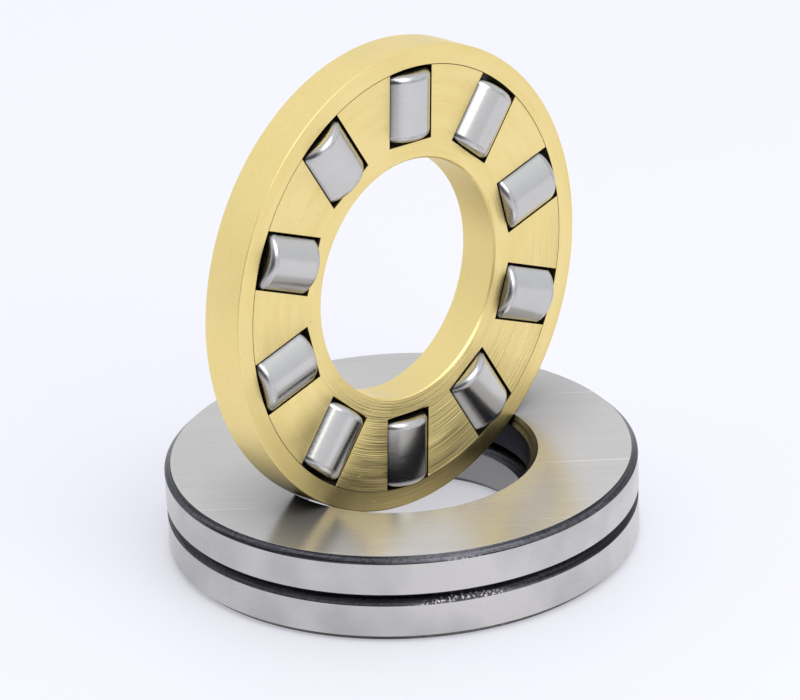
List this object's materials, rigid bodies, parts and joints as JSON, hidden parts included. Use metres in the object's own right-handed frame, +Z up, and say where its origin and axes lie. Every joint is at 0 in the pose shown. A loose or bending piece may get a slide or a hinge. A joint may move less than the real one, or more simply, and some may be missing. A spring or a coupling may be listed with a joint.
{
  "type": "cylindrical roller thrust bearing",
  "caption": "Cylindrical roller thrust bearing shown apart: flat steel washers stacked, with a brass-caged roller set standing on edge in their bore.",
  "frame": {"origin": "centre of the washer stack's underside, on the surface it lies on", "axes": "+Z up along the washers' axis; the roller set stands above them with its front face between +X and -Y, leaning back slightly"},
  "size_m": [0.078, 0.078, 0.0862],
  "materials": {
    "ground_steel": "ground bearing steel, dark turned chamfers",
    "cage_brass": "turned and satin-blasted machined brass",
    "roller_steel": "polished hardened bearing steel"
  },
  "bodies": {
    "shaft_washer": {"shaft_washer": "ground_steel"},
    "housing_washer": {"housing_washer": "ground_steel"},
    "roller_cage": {"cage_body": "cage_brass", "cage_ring": "cage_brass"},
    "roller_01": {"roller_01": "roller_steel"},
    "roller_02": {"roller_02": "roller_steel"},
    "roller_03": {"roller_03": "roller_steel"},
    "roller_04": {"roller_04": "roller_steel"},
    "roller_05": {"roller_05": "roller_steel"},
    "roller_06": {"roller_06": "roller_steel"},
    "roller_07": {"roller_07": "roller_steel"},
    "roller_08": {"roller_08": "roller_steel"},
    "roller_09": {"roller_09": "roller_steel"},
    "roller_10": {"roller_10": "roller_steel"}
  },
  "joints": [
    {"name": "housing_turn", "type": "hinge", "parent": "shaft_washer", "child": "housing_washer", "pos_m": [0, 0, 0.01125], "axis": [0, 0, 1], "continuous": true},
    {"name": "cage_turn", "type": "hinge", "parent": "shaft_washer", "child": "roller_cage", "pos_m": [0, 0, 0.0471], "axis": [0.7065, -0.7065, 0.0419], "continuous": true},
    {"name": "roller_01_spin", "type": "hinge", "parent": "roller_cage", "child": "roller_01", "pos_m": [0.01987, 0.02022, 0.05285], "axis": [0.6864, 0.6984, 0.2026], "continuous": true},
    {"name": "roller_02_spin", "type": "hinge", "parent": "roller_cage", "child": "roller_02", "pos_m": [0.0132, 0.01446, 0.06846], "axis": [0.454, 0.4978, 0.739], "continuous": true},
    {"name": "roller_03_spin", "type": "hinge", "parent": "roller_cage", "child": "roller_03", "pos_m": [0.00142, 0.00315, 0.07627], "axis": [0.0482, 0.107, 0.9931], "continuous": true},
    {"name": "roller_04_spin", "type": "hinge", "parent": "roller_cage", "child": "roller_04", "pos_m": [-0.01104, -0.00954, 0.07248], "axis": [-0.3761, -0.3246, 0.8679], "continuous": true},
    {"name": "roller_05_spin", "type": "hinge", "parent": "roller_cage", "child": "roller_05", "pos_m": [-0.01906, -0.01835, 0.05891], "axis": [-0.6566, -0.6323, 0.4112], "continuous": true},
    {"name": "roller_06_spin", "type": "hinge", "parent": "roller_cage", "child": "roller_06", "pos_m": [-0.02028, -0.02064, 0.04099], "axis": [-0.6864, -0.6984, -0.2026], "continuous": true},
    {"name": "roller_07_spin", "type": "hinge", "parent": "roller_cage", "child": "roller_07", "pos_m": [-0.0132, -0.01448, 0.02549], "axis": [-0.454, -0.4978, -0.739], "continuous": true},
    {"name": "roller_08_spin", "type": "hinge", "parent": "roller_cage", "child": "roller_08", "pos_m": [-0.00141, -0.00314, 0.01788], "axis": [-0.0482, -0.107, -0.9931], "continuous": true},
    {"name": "roller_09_spin", "type": "hinge", "parent": "roller_cage", "child": "roller_09", "pos_m": [0.01086, 0.00937, 0.02192], "axis": [0.3761, 0.3246, -0.8679], "continuous": true},
    {"name": "roller_10_spin", "type": "hinge", "parent": "roller_cage", "child": "roller_10", "pos_m": [0.01896, 0.01825, 0.03511], "axis": [0.6566, 0.6323, -0.4112], "continuous": true}
  ],
  "couplings": [
    {"joint": "cage_turn", "follows": "housing_turn", "ratio": 0.5},
    {"joint": "roller_01_spin", "follows": "housing_turn", "ratio": -2.5543},
    {"joint": "roller_02_spin", "follows": "housing_turn", "ratio": -2.5543},
    {"joint": "roller_03_spin", "follows": "housing_turn", "ratio": -2.5543},
    {"joint": "roller_04_spin", "follows": "housing_turn", "ratio": -2.5543},
    {"joint": "roller_05_spin", "follows": "housing_turn", "ratio": -2.5543},
    {"joint": "roller_06_spin", "follows": "housing_turn", "ratio": -2.5543},
    {"joint": "roller_07_spin", "follows": "housing_turn", "ratio": -2.5543},
    {"joint": "roller_08_spin", "follows": "housing_turn", "ratio": -2.5543},
    {"joint": "roller_09_spin", "follows": "housing_turn", "ratio": -2.5543},
    {"joint": "roller_10_spin", "follows": "housing_turn", "ratio": -2.5543}
  ]
}
